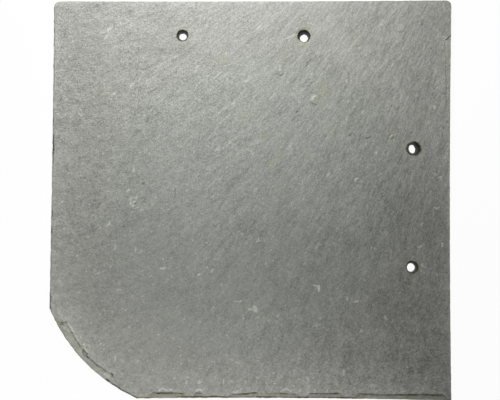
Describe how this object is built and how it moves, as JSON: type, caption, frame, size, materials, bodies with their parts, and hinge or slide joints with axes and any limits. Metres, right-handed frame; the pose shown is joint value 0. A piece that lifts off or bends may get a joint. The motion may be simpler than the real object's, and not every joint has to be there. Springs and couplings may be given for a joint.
{
  "type": "slate roof tile",
  "caption": "Square hand-dressed natural slate roof tile with one curved corner and punched nail holes along two sides.",
  "frame": {"origin": "middle of the slate's square outline, on its back face", "axes": "+Z out of the weather face, +Y up the slope towards the ridge, +X to the right when the weather face is looked at"},
  "size_m": [0.2007, 0.1999, 0.005],
  "materials": {
    "slate_stone": "riven natural slate, matt with a faint sheen, grey with an olive tint where freshly chipped"
  },
  "bodies": {
    "root": {"slate": "slate_stone"}
  },
  "joints": []
}
